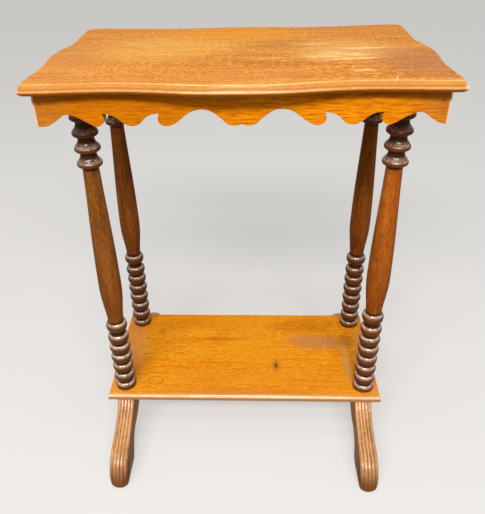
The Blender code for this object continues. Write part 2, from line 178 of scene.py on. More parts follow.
def woodFinish(name, changes, marks=None):
    look = {**plainWood, **changes}
    material, shader, sock = newFinish(name, {
        "Coat Roughness": look["coatRough"], "Coat IOR": look["coatDepth"],
        "Specular IOR Level": look["gloss"],
    })
    place = sock.node("ShaderNodeTexCoord", out="Object")
    x = place.node("ShaderNodeSeparateXYZ", None, {"Vector": place}, "X")
    spot = {"X": x, "Y": x.other("Y"), "Z": x.other("Z")}
    along, across, through = (spot[axis] for axis in look["grain"])
    grain = place.node("ShaderNodeCombineXYZ", None, {"X": along, "Y": across, "Z": through})
    grain = grain.shifted(look["seed"])
    sway = grain.scaled(look["swayScale"]).noise(2.0, out="Color").shifted((-0.5, -0.5, -0.5))
    grain = grain.shifted(sway.scaled((0.0, look["warp"], look["warp"])))
    tone = 0.5
    fields = []
    for scale, strength in look["layers"]:
        fields.append(grain.scaled(scale).noise(3.0, 0.6))
        tone = tone + (fields[-1] - 0.5) * strength * look["contrast"]
    broad, fine = fields[0], fields[-1]
    fromPith = grain.shifted((0.0, *look["pith"])).scaled((0.0, 1.0, 1.0)).length()
    ring = fromPith / look["ringPitch"] + fields[1]
    ring = ring.maths("FRACT", ring)
    lateWood = ring.between(0.25, 0.9) * (1 - ring.between(0.92, 1.0))
    tone = tone - (lateWood - 0.4) * look["rings"]
    pore = grain.scaled(look["poreScale"]).noise(1.0, 0.5).between(0.58, 0.7) * broad.between(0.25, 0.7)
    colour = tone.clamped().ramp([(0.12, look["dark"]), (0.5, look["mid"]), (0.88, look["light"])])
    colour = colour.tinted(look["poreColour"], pore * look["pores"])
    rough = look["rough"] + (fine - 0.5) * look["roughSpread"] + (broad - 0.5) * look["roughSpread"]
    height = fine * 0.6 + fields[1] * 0.3 - pore * 0.9
    extra = {}
    if marks:
        colour, rough, height, *coat = marks(place, spot, colour, rough, height)
        if coat:
            extra["Coat Weight"] = coat[0]
    normal = surfaceNormal(height, look["bump"], look["relief"])
    connect(shader, {"Base Color": colour, "Roughness": rough.clamped(), "Normal": normal, **extra})
    return material


def ovalDistance(place, middle, halves, lean=0.0):  # 0 at the middle of an oval on a board, 1 on its rim
    local = place.shifted((-middle[0], -middle[1], 0.0))
    if lean:
        turn = {"Vector": local, "Angle": -lean}
        local = place.node("ShaderNodeVectorRotate", {"rotation_type": "Z_AXIS"}, turn)
    return local.scaled((1 / halves[0], 1 / halves[1], 0.0)).length()


def zone(*oval):  # 1 at the middle of an oval, 0 from its rim outwards
    return 1 - ovalDistance(*oval).between(0.25, 1.0)


def facing(place):  # the upward part of the surface's direction
    normal = place.node("ShaderNodeNewGeometry", out="Normal")
    return normal.node("ShaderNodeSeparateXYZ", None, {"Vector": normal}, "Z")


def flatness(up):  # 1 on the upper face of a board, 0 on its edges
    return up.between(0.97, 0.995)


def mottling(place, scales):  # scales of a ragged and of a fine field; the third is the two together
    ragged = place.scaled(scales[0]).noise(3.0, 0.65)
    fine = place.scaled(scales[1]).noise(2.0, 0.6)
    return ragged, fine, (ragged * 0.6 + fine * 0.4).between(0.36, 0.62)


def spotted(colour, place, stains, patchy):
    for middle, halves, stain, strength in stains:
        colour = colour.tinted(stain, zone(place, middle, halves) * patchy * strength)
    return colour


def joined(operation, fields):
    total = fields[0]
    for field in fields[1:]:
        total = total.maths(operation, total, field)
    return total


# Lines, loops and meshes

def smoothLine(points, steps, closed=False):
    # a curve through the points that neither overshoots nor loops where they are unevenly spaced
    spots = [Vector(point) for point in points]
    count = len(spots)
    line = []
    for i in range(count if closed else count - 1):
        b, c = spots[i], spots[(i + 1) % count]
        a = spots[i - 1] if closed or i > 0 else b * 2 - c
        d = spots[(i + 2) % count] if closed or i + 2 < count else c * 2 - b
        t1 = math.sqrt((b - a).length)
        t2 = t1 + math.sqrt((c - b).length)
        t3 = t2 + math.sqrt((d - c).length)
        for step in range(steps):
            t = t1 + (t2 - t1) * step / steps
            ab = a.lerp(b, t / t1)
            bc = b.lerp(c, (t - t1) / (t2 - t1))
            cd = c.lerp(d, (t - t2) / (t3 - t2))
            abc = ab.lerp(bc, t / t2)
            bcd = bc.lerp(cd, (t - t1) / (t3 - t1))
            line.append(abc.lerp(bcd, (t - t1) / (t2 - t1)))
    if not closed:
        line.append(spots[-1])
    return line


def rounded(corners, radii, steps):
    # an open line whose inner corners are rounded off, by one radius or by one for each corner
    line = [Vector(corners[0])]
    radii = radii if isinstance(radii, tuple) else [radii] * (len(corners) - 2)
    for before, corner, after, radius in zip(corners, corners[1:], corners[2:], radii):
        before, corner, after = Vector(before), Vector(corner), Vector(after)
        reach = min(radius, (before - corner).length * 0.45, (after - corner).length * 0.45)
        start = corner + (before - corner).normalized() * reach
        end = corner + (after - corner).normalized() * reach
        for step in range(steps + 1):
            t = step / steps
            line.append(start.lerp(corner, t).lerp(corner.lerp(end, t), t))
    line.append(Vector(corners[-1]))
    return line


def insetLoop(loop, inset):
    # moves a closed counter-clockwise loop inwards, and gathers the points that would cross in a tight tip
    spots = np.array([tuple(spot) for spot in loop])
    run = np.roll(spots, -1, axis=0) - spots
    ahead = run / np.linalg.norm(run, axis=1)[:, None]
    inward = np.stack([-ahead[:, 1], ahead[:, 0]], axis=1)
    mitre = inward + np.roll(inward, 1, axis=0)
    mitre /= np.linalg.norm(mitre, axis=1)[:, None]
    stretch = 1 / np.maximum((mitre * inward).sum(axis=1), 0.4)
    moved = spots + mitre * (stretch * inset)[:, None]
    if inset <= 0:
        return moved
    share = ((moved[:, None] - spots[None]) * run[None]).sum(axis=2) / (run * run).sum(axis=1)[None]
    nearest = spots[None] + np.clip(share, 0, 1)[:, :, None] * run[None]
    gap = np.linalg.norm(moved[:, None] - nearest, axis=2).min(axis=1)
    count = len(moved)
    sound = np.flatnonzero(gap >= inset * 0.97)
    for before, after in zip(sound, np.roll(sound, -1)):
        for step in range(1, (after - before - 1) % count + 1):
            moved[(before + step) % count] = (moved[before] + moved[after]) / 2
    return moved


def bridged(work, rings):
    for upper, lower in zip(rings, rings[1:]):
        for i in range(len(upper)):
            after = (i + 1) % len(upper)
            work.faces.new((upper[i], lower[i], lower[after], upper[after]))
    work.faces.new(rings[0])
    work.faces.new(list(reversed(rings[-1])))


def boardMesh(loop, rims, lay):
    # rims are (inset, height) from one face over the edge to the other; lay puts (x, y, height) in place
    work = bmesh.new()
    rings = []
    for inset, height in rims:
        rings.append([work.verts.new(lay(x, y, height)) for x, y in insetLoop(loop, inset)])
    bridged(work, rings)
    bmesh.ops.remove_doubles(work, verts=work.verts, dist=0.000002)
    bmesh.ops.dissolve_degenerate(work, edges=work.edges, dist=0.000002)
    return work


def turnedMesh(profile, sides, centre):
    # turns (radius, height) points, top to bottom, about an upright axis
    work = bmesh.new()
    rings = []
    for radius, height in profile:
        if radius <= 0:
            rings.append([work.verts.new((centre[0], centre[1], height))])
            continue
        ring = []
        for side in range(sides):
            turn = math.tau * side / sides
            place = (centre[0] + radius * math.cos(turn), centre[1] + radius * math.sin(turn), height)
            ring.append(work.verts.new(place))
        rings.append(ring)
    for upper, lower in zip(rings, rings[1:]):
        for side in range(sides):
            after = (side + 1) % sides
            corners = [upper[side % len(upper)], lower[side % len(lower)]]
            if len(lower) > 1:
                corners.append(lower[after])
            if len(upper) > 1:
                corners.append(upper[after])
            work.faces.new(corners)
    return work


def addObject(name, data):
    made = bpy.data.objects.new(name, data)
    bpy.context.scene.collection.objects.link(made)
    return made


def addPiece(name, work, finish, node, sharpAngle=38):
    bmesh.ops.recalc_face_normals(work, faces=work.faces)
    mesh = bpy.data.meshes.new(name)
    work.to_mesh(mesh)
    work.free()
    mesh.materials.append(finish)
    mesh.shade_smooth()
    mesh.set_sharp_from_angle(angle=math.radians(sharpAngle))
    piece = addObject(name, mesh)
    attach(piece, "root")
    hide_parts(node)


# Top board
top = {
    "length": 0.5566, "depth": 0.379, "height": 0.717,
    "frontTip": 0.0068, "backTip": 0.0045, "leftTipWorn": 0.0024, "wornFrom": 0.26,
    # (place along, share of the wave's height); below, the heights and how far up each wave the tip stands
    "frontWave": ((0.0, 1.0), (0.13, 0.96), (0.22, 0.84), (0.3, 0.6), (0.38, 0.33),
                  (0.48, 0.1), (0.6, 0.0), (0.74, 0.1), (0.88, 0.28)),
    "backWave": ((0.0, 0.5), (0.15, 0.45), (0.3, 0.13), (0.42, 0.0), (0.58, 0.25), (0.76, 0.72), (0.9, 1.0)),
    "frontSideWave": ((0.0, 0.9), (0.1, 1.0), (0.2, 0.95), (0.31, 0.74), (0.41, 0.5), (0.53, 0.29),
                      (0.66, 0.34), (0.8, 0.45), (0.9, 0.46)),
    "backSideWave": ((0.0, 0.9), (0.1, 0.63), (0.2, 0.25), (0.3, 0.03), (0.4, 0.06), (0.53, 0.22),
                     (0.66, 0.4), (0.79, 0.48), (0.9, 0.44)),
    "waves": (0.016, 0.0133, 0.0097, 0.0097),
    "tips": (0.3, 1.0, 0.35, 0.35),
    # (inset, drop) down the edge: a steep bevel, a shoulder, the nose and a chamfer below
    "edge": ((0.0146, 0.0), (0.0066, 0.0), (0.003, -0.0064), (0.0004, -0.0083), (0.0, -0.0094),
             (0.0014, -0.0116), (0.0062, -0.0145), (0.011, -0.0145)),
    "edgeRounds": (0.0032, 0.0012, 0.0012, 0.001, 0.0012, 0.0012),
    "wood": {
        "seed": (0.3, 1.7, 0.0),
        "dark": (0.48, 0.15, 0.012), "mid": (0.745, 0.262, 0.026), "light": (0.9, 0.41, 0.078),
        "poreColour": (0.36, 0.11, 0.012),
        "layers": (((3.0, 9.0, 9.0), 0.6), ((7.0, 150.0, 150.0), 0.9), ((160.0, 470.0, 470.0), 2.5),
                   ((26.0, 900.0, 900.0), 0.8)),
        "rings": 0.12, "pores": 0.35, "coatRough": 0.13,
    },
    "mottle": ((26.0, 120.0, 120.0), (60.0, 700.0, 700.0)),
    # stains and sun-bleached places: middle, half sizes, colour, strength
    "stains": (
        ((-0.13, 0.01), (0.17, 0.125), (0.94, 0.5, 0.105), 0.6),
        ((-0.255, -0.06), (0.095, 0.18), (0.66, 0.25, 0.07), 0.6),
        ((-0.06, -0.15), (0.29, 0.055), (0.66, 0.25, 0.055), 0.55),
        ((-0.01, 0.12), (0.16, 0.08), (0.92, 0.36, 0.014), 0.65),
        ((0.06, 0.035), (0.085, 0.055), (0.5, 0.18, 0.036), 0.45),
        ((0.16, -0.01), (0.12, 0.1), (0.92, 0.52, 0.175), 0.6),
        ((0.252, -0.085), (0.1, 0.125), (0.46, 0.175, 0.07), 0.95),
        ((0.21, 0.14), (0.13, 0.08), (0.72, 0.27, 0.062), 0.5),
    ),
    # pale rubbed streaks: middle, half sizes, lean in radians, strength
    "streaks": (
        ((0.151, -0.068), (0.095, 0.0085), 0.14, 1.0), ((0.13, -0.026), (0.05, 0.01), 0.02, 0.8),
        ((0.176, -0.002), (0.055, 0.015), 0.1, 0.95), ((0.13, -0.046), (0.105, 0.034), 0.12, 0.78),
        ((0.161, -0.13), (0.032, 0.011), 0.2, 0.95), ((0.103, -0.158), (0.018, 0.006), 0.05, 0.6),
        ((0.04, -0.062), (0.08, 0.007), 0.08, 0.62), ((0.11, 0.03), (0.07, 0.012), 0.05, 0.7),
        ((-0.15, 0.045), (0.08, 0.03), 0.0, 0.52), ((-0.09, -0.03), (0.06, 0.02), 0.0, 0.5),
    ),
    "nick": ((0.1938, -0.1683), (0.0009, 0.013), -0.21),   # middle, half sizes, lean in radians
    # between which distances from the middle, and which places in depth, these fade
    "frontMiddle": ((0.05, 0.13), (-0.2, -0.15)), "points": ((0.27, 0.276), (-0.18, -0.172)),
    # bands of the edge: from, to and softness of the upward part of its direction, then heights
    "facings": {"bevel": (-0.1, 0.8, 0.05), "arris": (0.8, 0.975, 0.02), "shoulder": (0.6, 0.86, 0.05),
                "polish": (0.58, 0.93, 0.05), "grime": (-0.7, 0.3, 0.1)},
    "heights": {"shoulder": (0.7095, 0.7125), "hollow": (0.7096, 0.712, 0.001), "under": (0.706, 0.7072),
                "polish": (0.7164, 0.717)},
    # colour, strength
    "tones": {
        "rubbed": ((0.96, 0.66, 0.27), 0.85), "nick": ((0.95, 0.72, 0.42), 0.9),
        "bevel": ((0.56, 0.225, 0.048), 0.8), "arris": ((0.93, 0.66, 0.34), 1.0),
        "shoulder": ((0.93, 0.62, 0.34), 1.0), "hollow": ((0.33, 0.12, 0.02), 0.6),
        "under": ((0.34, 0.1, 0.006), 0.88), "grime": ((0.16, 0.05, 0.012), 0.6),
        "points": ((0.86, 0.74, 0.62), 0.85),
    },
}


def topMarks(place, spot, colour, rough, height):
    tones, facings, heights = top["tones"], top["facings"], top["heights"]
    z = spot["Z"]
    up = facing(place)
    ragged, fine, mottled = mottling(place, top["mottle"])
    colour = spotted(colour, place, top["stains"], mottled.raised(0.4))
    streaks = []
    for middle, halves, lean, strength in top["streaks"]:
        streaks.append(zone(place, middle, halves, lean) * strength)
    rubbed = joined("MAXIMUM", streaks) + (ragged - 0.5) * 1.5 + (fine - 0.5) * 1.2
    rubbed = rubbed.between(0.42, 1.05) * flatness(up)
    colour = colour.stained(tones["rubbed"], rubbed)
    nick = zone(place, *top["nick"]).between(0.12, 0.4) * up.between(0.4, 0.6)
    colour = colour.stained(tones["nick"], nick)
    # the edge gets painted shade against the face, its rubbed arris and nose carry a painted highlight that
    # is strongest at the front middle, and painted shade lies underneath
    across = spot["X"].absolute()
    aside, behind = top["frontMiddle"]
    frontMiddle = (1 - across.between(*aside)) * (1 - spot["Y"].between(*behind))
    # painted shade: the bevel, nose and underside of the edge are darkened
    bevel = up.inside(*facings["bevel"])
    colour = colour.stained(tones["bevel"], bevel)
    # the arris is rubbed pale, with a painted highlight that makes it palest at the front middle
    arris = up.inside(*facings["arris"]) * mottled.raised(0.3) * frontMiddle.raised(0.5)
    colour = colour.stained(tones["arris"], arris)
    # the shoulder above the nose is rubbed pale and carries a painted highlight, strongest at the front
    # middle
    shoulder = up.inside(*facings["shoulder"]) * (1 - z.between(*heights["shoulder"]))
    colour = colour.stained(tones["shoulder"], shoulder * mottled.raised(0.3) * (0.2 + frontMiddle * 0.7))
    # painted shade: a dark line in the hollow just above the nose
    colour = colour.stained(tones["hollow"], z.inside(*heights["hollow"]) * bevel)
    # painted shade on the underside and the chamfer below the nose
    under = (2 - up.between(-0.5, 0.05) - z.between(*heights["under"])).clamped()
    colour = colour.stained(tones["under"], under)
    grime = place.scaled((380.0, 380.0, 380.0)).noise(1.0, 0.5).between(0.66, 0.74)
    colour = colour.stained(tones["grime"], grime * up.inside(*facings["grime"]))
    # the two front points have lost their colour
    aside, behind = top["points"]
    points = across.between(*aside) * (1 - spot["Y"].between(*behind)) * (1 - up.between(0.9, 0.97))
    colour = colour.stained(tones["points"], points * mottled.raised(0.5))
    polished = up.inside(*facings["polish"]) * (1 - z.between(*heights["polish"]))
    polished = polished * (0.15 + frontMiddle * 0.75)
    return colour, rough + rubbed * 0.1 + nick * 0.2, height + rubbed * 0.25 - nick * 0.8, polished


def topLoop():
    halfLength, halfDepth = top["length"] / 2, top["depth"] / 2
    edges = []
    for name, reach, wave, tip in zip(
        ("frontWave", "backWave", "frontSideWave", "backSideWave"),
        (halfDepth, halfDepth, halfLength, halfLength), top["waves"], top["tips"],
    ):
        edges.append([(along, reach - wave * (tip - height)) for along, height in top[name]])
    front, back, frontSide, backSide = edges
    half = [(along * halfLength, -out) for along, out in front]
    blunt = top["frontTip"]
    for turn in (15, 45, 75):  # the front tips are rounded
        x = halfLength - blunt * (1 - math.sin(math.radians(turn)))
        y = blunt * (1 - math.cos(math.radians(turn))) - halfDepth
        half.append((x, y))
    half += [(out, -along * halfDepth) for along, out in reversed(frontSide)]
    half += [(out, along * halfDepth) for along, out in backSide[1:]]
    half.append((halfLength - top["backTip"], halfDepth - top["backTip"]))
    half += [(along * halfLength, out) for along, out in reversed(back)]
    left = []
    for x, y in reversed(half[1:-1]):
        nearTip = max(0.0, 1 - (y + halfDepth) / (4 * blunt)) if x > top["wornFrom"] else 0.0
        left.append((top["leftTipWorn"] * nearTip ** 2 - x, y))
    return smoothLine(half + left, 8, closed=True)


topFinish = woodFinish("topWood", top["wood"], topMarks)
topRims = [(inset, top["height"] + drop) for inset, drop in rounded(top["edge"], top["edgeRounds"], 5)]
topWork = boardMesh(topLoop(), topRims, lambda x, y, z: (x, y, z))
addPiece("topPlank", topWork, topFinish, "top_board")
print("top board done")


# Friezes
frieze = {
    "length": 0.5296, "depth": 0.336, "drop": 0.0446, "thick": 0.015, "top": 0.7022,
    "endInset": 0.002, "patternShift": 0.0032, "gap": 0.0003, "arris": 0.0006,
    # (place along, drop, sharp corner) from the middle to the end
    "long": (
        (0.0, 0.955, 0), (0.03, 1.0, 0), (0.066, 0.96, 0), (0.105, 0.76, 0), (0.155, 0.558, 0),
        (0.2, 0.518, 0), (0.245, 0.582, 0), (0.29, 0.765, 0), (0.328, 0.93, 0), (0.367, 1.0, 0),
        (0.398, 0.94, 0), (0.409, 0.8, 0), (0.403, 0.625, 1), (0.436, 0.65, 0), (0.47, 0.75, 0),
        (0.502, 0.93, 0), (0.54, 0.99, 0), (0.575, 0.92, 0), (0.612, 0.74, 0), (0.645, 0.65, 0),
        (0.683, 0.618, 1), (0.673, 0.76, 0), (0.681, 0.91, 0), (0.709, 1.0, 0), (0.745, 0.92, 0),
        (0.79, 0.76, 0), (0.832, 0.655, 0), (0.866, 0.65, 0), (0.905, 0.8, 0), (0.948, 0.95, 0),
        (0.975, 0.99, 0), (1.0, 0.99, 1),
    ),
    "short": (
        (0.0, 0.955, 0), (0.05, 1.0, 0), (0.11, 0.96, 0), (0.18, 0.76, 0), (0.265, 0.558, 0),
        (0.34, 0.518, 0), (0.42, 0.582, 0), (0.495, 0.765, 0), (0.56, 0.93, 0), (0.625, 1.0, 0),
        (0.678, 0.94, 0), (0.698, 0.8, 0), (0.688, 0.625, 1), (0.745, 0.65, 0), (0.81, 0.73, 0),
        (0.88, 0.82, 0), (0.95, 0.88, 0), (1.0, 0.89, 1),
    ),
    "wood": {
        "dark": (0.5, 0.13, 0.001), "mid": (0.78, 0.23, 0.002), "light": (0.93, 0.34, 0.006),
        "poreColour": (0.34, 0.085, 0.002),
        "layers": (((6.0, 24.0, 24.0), 0.5), ((9.0, 300.0, 300.0), 0.45), ((60.0, 430.0, 430.0), 1.1),
                   ((30.0, 900.0, 900.0), 0.8)),
        "rings": 0.06, "pores": 0.3, "rough": 0.6, "gloss": 0.03,
    },
    "shadeHeights": (0.687, 0.699), "dullHalf": (-0.14, 0.06),
    # between which distances from the middle, lengthways and in depth, these set in
    "ends": ((0.205, 0.262), (0.162, 0.167)), "corners": ((0.2618, 0.2632), (0.165, 0.1674)),
    "nail": (0.2553, -0.168, 0.6882), "nailRust": (0.0012, 0.0038),
    # colour, strength
    "tones": {
        "shade": ((0.18, 0.04, 0.001), 0.72), "dull": ((0.42, 0.11, 0.001), 0.58),
        "ends": ((0.47, 0.175, 0.03), 0.62), "corners": ((0.84, 0.64, 0.48), 0.85),
        "sawn": ((0.45, 0.16, 0.02), 0.7), "rust": ((0.16, 0.03, 0.004), 0.65),
    },
}


def friezeMarks(place, spot, colour, rough, height):
    tones = frieze["tones"]
    x, y, z = spot["X"], spot["Y"], spot["Z"]
    ragged = place.scaled((30.0, 30.0, 160.0)).noise(3.0, 0.6)
    # painted shade under the overhang, darkest just below the top
    shade = z.between(*frieze["shadeHeights"])
    colour = colour.stained(tones["shade"], shade * (0.5 + ragged * 0.6).clamped())
    # the left half is duller
    dull = (1 - x.between(*frieze["dullHalf"])) * (0.5 + ragged * 0.8).clamped()
    colour = colour.stained(tones["dull"], dull)
    # dull ends, then a bare pale line down each corner
    acrossX, acrossY = x.absolute(), y.absolute()
    lengthways, inDepth = frieze["ends"]
    ends = acrossX.between(*lengthways) * acrossY.between(*inDepth)
    colour = colour.stained(tones["ends"], ends * (0.5 + ragged * 0.6).clamped())
    lengthways, inDepth = frieze["corners"]
    colour = colour.stained(tones["corners"], acrossX.between(*lengthways) * acrossY.between(*inDepth))
    # sawn lower edge
    colour = colour.stained(tones["sawn"], 1 - facing(place).between(-0.8, -0.35))
    # rust round the nails
    nailX, nailY, nailZ = frieze["nail"]
    stains = []
    for side in (-1, 1):
        near = place.shifted((-side * nailX, -nailY, -nailZ)).scaled((0.7, 1.0, 1.9)).length()
        stains.append(1 - near.between(*frieze["nailRust"]))
    colour = colour.stained(tones["rust"], joined("ADD", stains).clamped())
    return colour, rough + shade * 0.12, height


def friezeLoop(shares, length, shift):
    half = length / 2
    lower = [(along * half, -drop * frieze["drop"], sharp) for along, drop, sharp in shares]
    left = [(-x, y, sharp) for x, y, sharp in reversed(lower[1:])]
    pattern = [(x + shift, y, sharp) for x, y, sharp in left[1:] + lower[:-1]]
    loop, chain = [], []
    for x, y, sharp in [left[0]] + pattern + [lower[-1]]:
        chain.append((x, y))
        if sharp and len(chain) > 1:
            loop += smoothLine(chain, 5)[:-1]
            chain = [(x, y)]
    return loop + [Vector((half, lower[-1][1])), Vector((half, 0.0)), Vector((-half, 0.0))]


outerY = frieze["depth"] / 2
innerY = outerY - frieze["thick"]
shortX = frieze["length"] / 2 - frieze["endInset"]
longLoop = friezeLoop(frieze["long"], frieze["length"], frieze["patternShift"])
shortLoop = friezeLoop(frieze["short"], 2 * (innerY - frieze["gap"]), 0.0)
soft, thick = frieze["arris"], frieze["thick"]
friezeRims = rounded([(soft * 2, 0.0), (0.0, 0.0), (0.0, thick), (soft * 2, thick)], soft, 2)
friezePlans = (
    ("front", longLoop, lambda x, y, z: (x, -outerY + z, frieze["top"] + y), "XZY"),
    ("back", longLoop, lambda x, y, z: (x, outerY - z, frieze["top"] + y), "XZY"),
    ("left", shortLoop, lambda x, y, z: (-shortX + z, x, frieze["top"] + y), "YZX"),
    ("right", shortLoop, lambda x, y, z: (shortX - z, x, frieze["top"] + y), "YZX"),
)
for index, (side, loop, lay, grain) in enumerate(friezePlans):
    changes = {**frieze["wood"], "grain": grain, "seed": (0.37 * index, 0.4 + 0.21 * index, 0.9)}
    finish = woodFinish(side + "FriezeWood", changes, friezeMarks)
    board = boardMesh(loop, friezeRims, lay)
    addPiece(side + "FriezeBoard", board, finish, side + "_frieze")
print("friezes done")


# Legs
leg = {
    "x": 0.2254, "y": 0.0945, "sides": 56,
    "headTop": 0.6819, "seat": 0.1229,
    "headRadius": 0.0165, "headLength": 0.011, "headArris": 0.0006, "neckRadius": 0.0123,
    "discRadius": 0.0193, "discPitch": 0.0236, "discDrop": 0.0341, "discs": 4,
    "shaftDrop": 0.0086, "shaftTopRadius": 0.0123, "swellRadius": 0.019,
    "beadRadius": 0.0187, "coveRadius": 0.0124, "beadPitch": 0.0229, "firstBead": 0.0042,
    "ringHalf": 0.43, "ringSteps": 14,   # half the height of a ring, in pitches
    "seatGap": 0.0002, "bandSoft": 0.0015,
    "collarRise": 0.004, "collarHeight": 0.013, "seatRadius": 0.0168,
    # (height in pitches, radius from neck to rim)
    "disc": ((0.6, 0.0), (0.5, 0.05), (0.4, 0.2), (0.3, 0.44), (0.2, 0.74), (0.1, 0.96), (0.02, 1.0),
             (-0.06, 0.96), (-0.13, 0.76), (-0.19, 0.42), (-0.25, 0.1), (-0.32, 0.0)),
    # (place down, radius from shaft top to swell)
    "shaft": ((0.0, 0.0), (0.14, 0.2), (0.33, 0.54), (0.45, 0.74), (0.56, 0.88), (0.66, 0.96),
              (0.74, 1.0), (0.81, 0.93), (0.88, 0.66), (0.94, 0.38), (1.0, 0.17)),
    "slips": 0.00022,         # how unevenly the turner cut the rims
    "wood": {
        "grain": "ZXY",
        "dark": (0.13, 0.04, 0.006), "mid": (0.272, 0.089, 0.014), "light": (0.41, 0.15, 0.028),
        "poreColour": (0.08, 0.022, 0.004),
        "layers": (((5.0, 30.0, 30.0), 0.7), ((7.0, 200.0, 200.0), 0.45), ((110.0, 420.0, 420.0), 0.8),
                   ((26.0, 900.0, 900.0), 0.6)),
        "ringPitch": 0.0042, "rings": 0.08, "pores": 0.25, "pith": (0.05, 0.03), "warp": 0.01,
        "roughSpread": 0.12, "coatRough": 0.18, "coatDepth": 1.85, "gloss": 0.04,
    },
    # between which radii the painted groove shade fades and the rubbed, painted-highlight rims set in, and
    # which heights part beads from discs
    "grooveRadii": (0.0136, 0.0164), "rimRadii": (0.0146, 0.0174), "discHeights": (0.4, 0.45),
    "lowShaftHeights": (0.3, 0.56),
    # colour, strength
    "tones": {"turning": ((0.1, 0.034, 0.011), 0.88), "groove": ((0.035, 0.012, 0.004), 0.8)},
    "lowShaft": (0.12, 0.018, 0.001),   # its strength differs from leg to leg
    # what differs: number of beads, how much higher they stand, colour of their rubbed and painted-highlight
    # rims, strength of the low shaft's colour, where the wood was cut and its own stain, darker on the back
    # legs partly as painted shade
    "legs": {
        "front_left": (7, 0.0008, (0.62, 0.42, 0.27), 0.4, {"seed": (0.0, 0.31, 0.12)}),
        "front_right": (8, -0.0002, (0.66, 0.36, 0.24), 0.4, {
            "seed": (0.7, 1.33, 0.52),
            "dark": (0.19, 0.045, 0.004), "mid": (0.38, 0.092, 0.008), "light": (0.53, 0.16, 0.016)}),
        # the back legs' darker wood and rims stand partly for painted shade
        "back_left": (8, 0.0, (0.4, 0.245, 0.155), 0.12, {
            "seed": (1.4, 2.21, 0.92),
            "dark": (0.09, 0.026, 0.004), "mid": (0.205, 0.06, 0.008), "light": (0.34, 0.105, 0.016)}),
        "back_right": (8, -0.0008, (0.44, 0.23, 0.115), 0.12, {
            "seed": (2.1, 3.47, 1.32),
            "dark": (0.09, 0.024, 0.003), "mid": (0.21, 0.058, 0.006), "light": (0.34, 0.104, 0.012)}),
    },
}

firstDisc = leg["headTop"] - leg["discDrop"]
shaftTop = firstDisc - (leg["discs"] - 1) * leg["discPitch"] - leg["shaftDrop"]


def topBeadHeight(beads):
    return leg["seat"] + leg["firstBead"] + (beads - 1) * leg["beadPitch"] + leg["collarRise"]


def legProfile(beads, lift, slip):
    headRadius, headTop, arris = leg["headRadius"], leg["headTop"], leg["headArris"]
    points = [(0.0, headTop), (headRadius - arris, headTop), (headRadius, headTop - arris),
              (headRadius, headTop - leg["headLength"])]
    line = []
    for disc in range(leg["discs"]):
        rim = firstDisc - disc * leg["discPitch"]
        reach = leg["discRadius"] - leg["neckRadius"] + slip()
        for rise, share in leg["disc"]:
            line.append((leg["neckRadius"] + share * reach, rim + rise * leg["discPitch"]))
    points += smoothLine(line, 3)
    topBead = topBeadHeight(beads) + lift
    shaftEnd = topBead + leg["collarHeight"]
    line = []
    for down, share in leg["shaft"]:
        radius = leg["shaftTopRadius"] + share * (leg["swellRadius"] - leg["shaftTopRadius"])
        line.append((radius, shaftTop + down * (shaftEnd - shaftTop)))
    points += smoothLine(line[1:], 6)
    for bead in reversed(range(beads)):
        middle = leg["seat"] + leg["firstBead"] + lift + bead * leg["beadPitch"]
        if bead == beads - 1:
            middle = topBead
        reach = leg["beadRadius"] - leg["coveRadius"] + slip()
        for step in range(leg["ringSteps"] + 1):
            turn = math.pi * (0.5 - step / leg["ringSteps"])
            height = middle + math.sin(turn) * leg["ringHalf"] * leg["beadPitch"]
            if height > leg["seat"] + leg["seatGap"]:   # the profile ends at the seat
                points.append((leg["coveRadius"] + math.cos(turn) * reach, height))
    points += [(leg["seatRadius"], leg["seat"]), (0.0, leg["seat"])]
    return points


def legMarks(centre, beads, rubbed, lowStrength):
    def marks(place, spot, colour, rough, height):
        z = spot["Z"]
        fromAxis = place.shifted((-centre[0], -centre[1], 0.0)).scaled((1.0, 1.0, 0.0)).length()
        # beads and discs are browner than the shaft, with painted shade in the grooves, and their rims rubbed
        # pale with a painted highlight on the upper side
        turnings = ((0.0, topBeadHeight(beads) + leg["collarHeight"]), (shaftTop, 1.0))
        turning = joined("ADD", [z.inside(low, high, leg["bandSoft"]) for low, high in turnings]).clamped()
        up = facing(place)
        upper = up.between(0.1, 0.7)
        ragged = place.scaled((110.0, 110.0, 110.0)).noise(3.0, 0.65)
        flecks = place.scaled((330.0, 330.0, 330.0)).noise(2.0, 0.6)
        worn = (ragged * 0.4 + flecks * 0.6).between(0.4, 0.6)
        colour = colour.stained(leg["tones"]["turning"], turning)
        # painted shade in the coves between the beads and in the necks between the discs
        groove = (1 - fromAxis.between(*leg["grooveRadii"])) * turning
        colour = colour.stained(leg["tones"]["groove"], groove)
        onDisc = z.between(*leg["discHeights"])
        # wear and painted highlight are both weaker on the discs
        wear = (0.95 - onDisc * 0.57) * turning   # the discs are worn less than the beads
        # the upper side of each rim is rubbed pale and carries a painted highlight
        rims = fromAxis.between(*leg["rimRadii"]) * upper * (0.3 + worn * 0.8)
        colour = colour.tinted(rubbed, rims * wear)
        # painted highlight: a pale band round each bead and disc where it faces up at about 45 degrees
        crowns = up.inside(0.5, 0.84, 0.14) * (0.1 + worn * 1.1)
        crownTone = [min(0.95, 0.35 + part * 0.95) for part in rubbed]
        colour = colour.tinted(crownTone, crowns * wear * 0.55)
        # the shafts are redder and darker towards their lower ends
        low = (1 - z.between(*leg["lowShaftHeights"])) * (1 - turning)
        colour = colour.tinted(leg["lowShaft"], low * lowStrength)
        waxed = turning * upper * (0.85 - onDisc * 0.4)
        return colour, rough - turning * 0.15, height + ragged * 0.15 + turning * flecks * 4.0, waxed
    return marks


